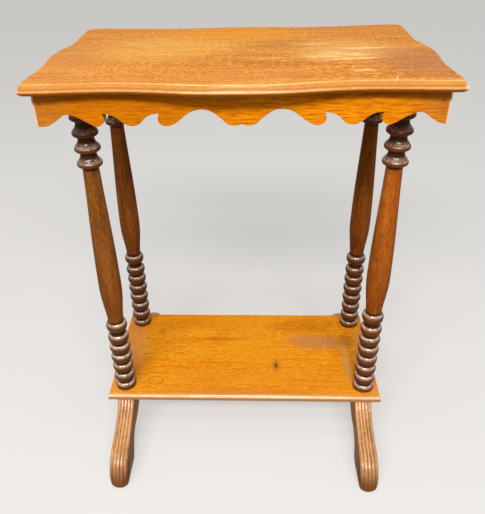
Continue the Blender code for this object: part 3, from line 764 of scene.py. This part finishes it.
for corner, (beads, lift, rubbed, lowStrength, stain) in leg["legs"].items():
    row, side = corner.split("_")
    centre = (leg["x"] if side == "right" else -leg["x"], leg["y"] if row == "back" else -leg["y"])
    dice = random.Random(corner)
    profile = legProfile(beads, lift, lambda: dice.uniform(-leg["slips"], leg["slips"]))
    marks = legMarks(centre, beads, rubbed, lowStrength)
    finish = woodFinish(corner + "LegWood", {**leg["wood"], **stain}, marks)
    turned = turnedMesh(profile, leg["sides"], centre)
    addPiece(row + side.capitalize() + "Leg", turned, finish, corner + "_leg", 50)
print("legs done")


# Shelf
shelf = {
    "length": 0.5108, "depth": 0.248, "thick": 0.014, "top": 0.1226, "setBack": 0.0008,
    "round": 0.006, "underRound": 0.0015, "cornerRound": 0.002, "faceStart": 0.003, "soften": 0.003,
    "wood": {
        "seed": (1.1, 0.2, 0.3),
        "dark": (0.74, 0.205, 0.002), "mid": (1.0, 0.335, 0.006), "light": (1.0, 0.46, 0.03),
        "poreColour": (0.46, 0.125, 0.002),
        "layers": (((4.0, 14.0, 14.0), 0.6), ((8.0, 300.0, 300.0), 0.7), ((90.0, 480.0, 480.0), 1.5),
                   ((26.0, 900.0, 900.0), 0.8)),
        "rings": 0.1, "pores": 0.35, "coatRough": 0.14,
    },
    "mottle": ((26.0, 60.0, 60.0), (80.0, 500.0, 500.0)),
    # stains: middle, half sizes, colour, strength
    "stains": (
        # painted light: the left end is lightened over the front-left leg's shadow
        ((-0.235, -0.01), (0.045, 0.17), (0.88, 0.4, 0.15), 0.55),
        ((-0.06, 0.09), (0.23, 0.034), (0.82, 0.28, 0.004), 0.55),
        ((0.12, 0.082), (0.09, 0.03), (0.56, 0.17, 0.004), 0.6),
        # partly a stain, partly the front-right leg's painted shadow
        ((0.214, 0.035), (0.026, 0.028), (0.38, 0.13, 0.003), 0.75),
        ((0.205, -0.03), (0.01, 0.08), (0.88, 0.46, 0.17), 0.75),
        ((0.25, -0.02), (0.04, 0.15), (0.8, 0.345, 0.12), 0.6),
        ((0.02, 0.01), (0.13, 0.06), (0.97, 0.39, 0.013), 0.5),
        ((0.0, -0.116), (0.29, 0.024), (0.72, 0.25, 0.045), 0.7),
        ((0.02, -0.07), (0.29, 0.06), (0.86, 0.29, 0.02), 0.4),
        ((-0.05, 0.041), (0.11, 0.005), (0.5, 0.15, 0.006), 0.7),
    ),
    "wildGrain": ((0.15, 0.034), (0.105, 0.04)),   # middle, half sizes
    "knots": (((0.064, -0.039), 0.0075, 0.95), ((-0.176, 0.06), 0.0065, 0.6)),   # middle, size, strength
    "wetRing": ((-0.171, -0.083), (0.015, 0.0105)),   # middle, half sizes
    "marginDepths": (-0.118, -0.115), "dullEnds": (0.17, 0.24),
    # colour, strength
    "tones": {
        "wild": ((0.58, 0.245, 0.095), 1.0), "knotRim": ((0.44, 0.15, 0.03), 0.5),
        "knot": ((0.11, 0.034, 0.01), 1.0), "ring": ((0.26, 0.08, 0.012), 0.75),
        "edge": ((0.97, 0.75, 0.47), 0.92), "margin": ((0.95, 0.6, 0.28), 0.55),
        "face": ((0.37, 0.2, 0.09), 0.82),
    },
}


def shelfMarks(place, spot, colour, rough, height):
    tones = shelf["tones"]
    up = facing(place)
    flat = flatness(up)
    ragged, fine, mottled = mottling(place, shelf["mottle"])
    colour = spotted(colour, place, shelf["stains"], mottled.raised(0.5))
    # a patch of wild grain to the right, with stripes running across the board
    wild = (zone(place, *shelf["wildGrain"]) + (ragged - 0.5) * 1.1).between(0.2, 1.05) * flat
    stripes = place.scaled((300.0, 30.0, 30.0)).noise(2.0, 0.6).between(0.36, 0.64)
    colour = colour.stained(tones["wild"], wild * (0.5 + stripes * 0.25))
    # a small dark knot, a second mark, and the flecks round them
    for middle, size, strength in shelf["knots"]:
        near = place.shifted((-middle[0], -middle[1], 0.0)).scaled((1.0, 0.55, 0.0)).length()
        near = near + (ragged - 0.5) * size * 2.2 + (fine - 0.5) * size * 1.2
        for tone, low, high in (("knotRim", 0.5, 1.5), ("knot", 0.15, 0.65)):
            dark = (1 - near.between(size * low, size * high)) * strength * flat
            colour = colour.stained(tones[tone], dark)
    # a faint oval ring left by something wet
    ring = ovalDistance(place, *shelf["wetRing"]).inside(0.9, 1.05, 0.07)
    ring = ring * (ragged * 0.6 + fine * 0.5).between(0.35, 0.62) * flat
    colour = colour.stained(tones["ring"], ring)
    # all the edges are rubbed pale and carry a painted highlight, most of all in front
    edge = up.inside(0.2, 0.96, 0.03)
    colour = colour.stained(tones["edge"], edge * mottled.raised(0.6))
    # the pale front margin is rubbed wear with a painted highlight
    margin = (1 - spot["Y"].between(*shelf["marginDepths"])) * flat
    colour = colour.stained(tones["margin"], margin * mottled.raised(0.4))
    # painted shade on the upright and lower faces of the edges
    colour = colour.stained(tones["face"], 1 - up.between(0.05, 0.4))
    away = spot["X"].absolute().between(*shelf["dullEnds"])
    return colour, rough + away * 0.06 + wild * 0.08, height - wild * 0.2, edge * 0.8


def shelfLoop():
    halfX, halfY = shelf["length"] / 2, shelf["depth"] / 2
    frontMiddle = (0.0, -halfY)
    corners = [frontMiddle, (halfX, -halfY), (halfX, halfY), (-halfX, halfY), (-halfX, -halfY), frontMiddle]
    return rounded(corners, shelf["cornerRound"], 5)[1:]


def shelfRims():
    upper, lower, thick = shelf["round"], shelf["underRound"], shelf["thick"]
    corners = [(upper + shelf["faceStart"], 0.0), (upper, 0.0), (upper * 0.3, -upper * 0.3), (0.0, -upper),
               (0.0, lower - thick), (lower, -thick), (lower + shelf["faceStart"], -thick)]
    return [(inset, shelf["top"] + drop) for inset, drop in rounded(corners, shelf["soften"], 4)]


shelfFinish = woodFinish("shelfWood", shelf["wood"], shelfMarks)
shelfWork = boardMesh(shelfLoop(), shelfRims(), lambda x, y, z: (x, y + shelf["setBack"], z))
addPiece("shelfPlank", shelfWork, shelfFinish, "shelf_board")
print("shelf done")


# Feet
foot = {
    "x": 0.2254, "reach": 0.2274, "height": 0.1083, "width": 0.0332,
    "bow": 0.012, "reeds": 5, "reedDepth": 0.0016, "reedPoints": 8, "arris": 0.0008,
    # from the middle to the toe: outer reach and height, arch reach and height, width, bow, reed depth
    "stations": (
        (0.0, 1.0, 0.0, 0.737, 0.95, 0.0, 0.0), (0.22, 1.0, 0.2, 0.7, 0.95, 0.0, 0.0),
        (0.4, 1.0, 0.35, 0.565, 0.95, 0.0, 0.0), (0.46, 1.0, 0.433, 0.483, 0.95, 0.0, 0.0),
        (0.503, 0.902, 0.47, 0.46, 0.95, 0.33, 1.0), (0.558, 0.774, 0.515, 0.445, 0.94, 0.5, 1.0),
        (0.637, 0.704, 0.562, 0.424, 0.92, 0.38, 1.0), (0.703, 0.654, 0.604, 0.392, 0.92, 0.36, 1.0),
        (0.774, 0.603, 0.641, 0.355, 0.93, 0.38, 1.0), (0.835, 0.56, 0.671, 0.318, 0.95, 0.44, 1.0),
        (0.892, 0.512, 0.695, 0.276, 0.97, 0.55, 1.0), (0.938, 0.442, 0.715, 0.23, 0.99, 0.67, 1.0),
        (0.974, 0.345, 0.733, 0.17, 1.0, 0.8, 1.0), (0.996, 0.221, 0.747, 0.108, 0.99, 0.92, 1.0),
        (1.0, 0.083, 0.766, 0.045, 0.95, 1.0, 0.8), (0.98, 0.0, 0.785, 0.0, 0.86, 1.0, 0.4),
    ),
    "wood": {
        "grain": "YXZ",
        "dark": (0.3, 0.11, 0.024), "mid": (0.56, 0.24, 0.072), "light": (0.76, 0.4, 0.16),
        "poreColour": (0.16, 0.055, 0.014),
        "layers": (((14.0, 40.0, 40.0), 0.8), ((12.0, 220.0, 220.0), 0.6), ((80.0, 400.0, 400.0), 0.7),
                   ((30.0, 900.0, 900.0), 0.7)),
        "rings": 0.08, "pores": 0.3, "coatRough": 0.28, "coatDepth": 1.65,
    },
    "toeHeights": (0.02, 0.064),
    # colour, strength
    "tones": {
        "crest": ((0.9, 0.56, 0.3), 0.5), "groove": ((0.2, 0.07, 0.02), 0.55),
        "toe": ((0.19, 0.055, 0.005), 0.9), "plain": ((0.2, 0.075, 0.02), 0.6),
    },
}


def footMarks(place, spot, colour, rough, height):
    tones = foot["tones"]
    # the mesh carries how far each point stands from the middle of its reed, 0 to 1, and 0.5 on plain faces
    reed = place.node("ShaderNodeAttribute", {"attribute_name": "reed"}, None, "Fac")
    ragged = place.scaled((160.0, 45.0, 45.0)).noise(3.0, 0.65)
    crest = (1 - reed.between(0.05, 0.55)) * ragged.between(0.35, 0.62).raised(0.4)
    colour = colour.stained(tones["crest"], crest)
    # painted shade in the grooves between the reeds
    groove = reed.between(0.8, 1.0)
    colour = colour.stained(tones["groove"], groove)
    # painted shade: the toe darkens towards the floor
    toe = 1 - spot["Z"].between(*foot["toeHeights"])
    colour = colour.stained(tones["toe"], toe)
    # painted shade on the side faces and underside, away from the reeds
    reeded = facing(place).between(0.05, 0.35)
    colour = colour.stained(tones["plain"], 1 - reeded)
    waxed = reeded * (0.9 - toe * 0.45)
    return colour, rough + groove * 0.2 - crest * 0.06, height + ragged * 0.1, waxed


def footRing(outer, inner, widthShare, bowShare, reedShare):
    # one cut across the foot: (across, reach, height, place on the reed)
    half = widthShare * foot["width"] / 2
    outward = (outer - inner).normalized()
    ring = []
    count = foot["reeds"] * foot["reedPoints"]
    for step in range(count + 1):
        across = 2 * step / count - 1
        phase = abs((step % foot["reedPoints"]) / foot["reedPoints"] * 2 - 1)
        dip = foot["reedDepth"] * reedShare * (1 - math.sqrt(1 - phase ** 2) ** 0.9)
        bow = bowShare * foot["bow"] * math.sqrt(1 - across ** 2)
        spot = outer + outward * (bow - dip)
        ring.append((across * half, spot.x, spot.y, phase * reedShare + 0.5 * (1 - reedShare)))
    soft = foot["arris"]
    corner = [(half, soft), (half - soft * 0.3, soft * 0.3), (half - soft, 0.0)]
    for side, line in ((1, corner), (-1, reversed(corner))):
        for x, rise in line:
            spot = inner + outward * rise
            ring.append((side * x, spot.x, spot.y, 0.5))
    return ring


def footMesh(centreX):
    work = bmesh.new()
    reedLayer = work.verts.layers.float.new("reed")
    stations = smoothLine(foot["stations"], 5)
    rings = []
    for side, half in ((1, reversed(stations)), (-1, stations[1:])):
        for outerReach, outerHeight, innerReach, innerHeight, width, bow, reed in half:
            outer = Vector((outerReach * foot["reach"], outerHeight * foot["height"]))
            inner = Vector((innerReach * foot["reach"], innerHeight * foot["height"]))
            ring = []
            for x, y, z, phase in footRing(outer, inner, width, max(0.0, bow), min(1.0, max(0.0, reed))):
                ring.append(work.verts.new((centreX + x, side * y, max(0.0, z))))
                ring[-1][reedLayer] = phase
            rings.append(ring)
    bridged(work, rings)
    return work


for side, centreX in (("left", -foot["x"]), ("right", foot["x"])):
    finish = woodFinish(side + "FootWood", {**foot["wood"], "seed": (centreX * 3, 0.8, 0.2)}, footMarks)
    addPiece(side + "Foot", footMesh(centreX), finish, side + "_foot", 42)
print("feet done")


# Hidden carcass and its ironwork keep their solids and get a finish each
carcass = {
    "wood": {
        "grain": "YXZ",
        "dark": (0.2, 0.1, 0.045), "mid": (0.36, 0.2, 0.1), "light": (0.5, 0.31, 0.17),
        "poreColour": (0.12, 0.06, 0.025),
        "rough": 0.68, "gloss": 0.3, "bump": 0.5, "relief": 0.0003,
    },
    # colour, rust, roughness
    "screwSteel": ((0.38, 0.36, 0.33), (0.12, 0.05, 0.025), 0.42),
    "nailIron": ((0.1, 0.085, 0.075), (0.07, 0.028, 0.014), 0.6),
}


def ironFinish(name, colour, rust, rough):
    material, shader, sock = newFinish(name, {"Metallic": 1.0})
    place = sock.node("ShaderNodeTexCoord", out="Object")
    grime = place.scaled((700.0, 700.0, 700.0)).noise(3.0, 0.6)
    turned = place.scaled((2600.0, 2600.0, 2600.0)).noise(1.0, 0.5)
    rusty = grime.between(0.5, 0.66)
    base = turned.ramp([(0.3, [c * 0.8 for c in colour]), (0.7, colour)]).tinted(rust, rusty * 0.8)
    connect(shader, {
        "Base Color": base, "Roughness": (rough + rusty * 0.3).clamped(),
        "Metallic": 1 - rusty * 0.8, "Normal": surfaceNormal(grime + turned * 0.4, 0.4, 0.00008),
    })
    return material


innerFinish = woodFinish("innerWood", carcass["wood"])
screwFinish = ironFinish("screwSteel", *carcass["screwSteel"])
nailFinish = ironFinish("nailIron", *carcass["nailIron"])
for nodeName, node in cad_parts.items():
    for ending, finish, slotName in (
        ("cleat", innerFinish, "inner_wood"), ("glue_block", innerFinish, "inner_wood"),
        ("nail", nailFinish, "nail_steel"),
    ):
        if nodeName.endswith(ending):
            node.material_slots[0].material = finish
    if "_screw_" in nodeName:
        node.material_slots[0].material = screwFinish
print("carcass done")


# Floor, lamps and camera
studio = {
    "floorRadius": 14.0, "floorColour": (0.42, 0.41, 0.4),
    "ambientColour": (1.0, 0.97, 0.93), "ambient": 0.21,
    "backdrop": (0.62, 0.585, 0.53),
    "floorGlow": (0.44, 0.435, 0.425),   # only where the camera or a reflection sees the floor
    "lampColour": (1.0, 0.98, 0.95),
    # name, place, aimed at, width, height, watts
    "lamps": (
        ("mainLamp", (-0.217, -2.58, 2.82), (0.0, -0.1, 0.5), 3.2, 0.6, 128.0),
        ("highLamp", (0.0, -1.42, 2.7), (0.0, -0.1, 0.5), 0.6, 0.34, 10.5),
        ("crownLamp", (0.0, -0.46, 2.6), (0.0, -0.2, 0.0), 0.5, 0.2, 4.0),
    ),
}


def seenDirectly(sock):  # 1 for rays that come from the camera, off a mirror or through glass
    rays = sock.node("ShaderNodeLightPath", out="Is Camera Ray")
    return (rays + rays.other("Is Glossy Ray") + rays.other("Is Transmission Ray")).clamped()


floorWork = bmesh.new()
bmesh.ops.create_circle(floorWork, cap_ends=True, segments=96, radius=studio["floorRadius"])
floorMesh = bpy.data.meshes.new("studioFloor")
floorWork.to_mesh(floorMesh)
floorWork.free()
floor = addObject("studioFloor", floorMesh)
floorFinish, floorShader, floorSock = newFinish("studioFloor", {
    "Base Color": (*studio["floorColour"], 1), "Roughness": 0.75, "Specular IOR Level": 0.2,
    "Emission Strength": 1.0,
})
glow = seenDirectly(floorSock).ramp([(0.0, (0.0, 0.0, 0.0)), (1.0, studio["floorGlow"])])
connect(floorShader, {"Emission Color": glow})
floorMesh.materials.append(floorFinish)

world = bpy.data.worlds.new("studioWorld")
world.use_nodes = True
bpy.context.scene.world = world
worldTree = world.node_tree
worldOut = next(node for node in worldTree.nodes if node.type == "OUTPUT_WORLD")
worldSock = Sock(worldTree)
ambient = worldSock.node("ShaderNodeBackground", None, {
    "Color": (*studio["ambientColour"], 1), "Strength": studio["ambient"]})
seen = worldSock.node("ShaderNodeBackground", None, {"Color": (*studio["backdrop"], 1), "Strength": 1.0})
either = worldSock.node("ShaderNodeMixShader", None, {0: seenDirectly(worldSock), 1: ambient, 2: seen})
worldTree.links.new(either.link, worldOut.inputs["Surface"])

for name, place, aim, width, height, watts in studio["lamps"]:
    lampData = bpy.data.lights.new(name, "AREA")
    lampData.shape = "RECTANGLE"
    lampData.size = width
    lampData.size_y = height
    lampData.energy = watts
    lampData.color = studio["lampColour"]
    lamp = addObject(name, lampData)
    lamp.location = place
    lamp.rotation_euler = (Vector(aim) - Vector(place)).to_track_quat("-Z", "Y").to_euler()

view = {
    "place": (0.01823, -0.86961, 0.90053),
    "yaw": -0.04503, "pitch": 0.56264, "roll": -0.02286,   # radians
    "focalPixels": 560.72, "longSide": 514, "shortSide": 485, "centrePixel": 231.897,
}
cameraData = bpy.data.cameras.new("photoCamera")
cameraData.sensor_width = 36.0
cameraData.lens = view["focalPixels"] * cameraData.sensor_width / view["longSide"]
cameraData.shift_x = (view["shortSide"] / 2 - view["centrePixel"]) / view["longSide"]
camera = addObject("photoCamera", cameraData)
heading = Matrix.Rotation(-view["yaw"], 4, "Z")
tilt = Matrix.Rotation(math.pi / 2 - view["pitch"], 4, "X")
roll = Matrix.Rotation(view["roll"], 4, "Z")
camera.matrix_world = Matrix.Translation(view["place"]) @ heading @ tilt @ roll
bpy.context.scene.camera = camera
bpy.context.scene.view_settings.view_transform = "Standard"
print("studio done")
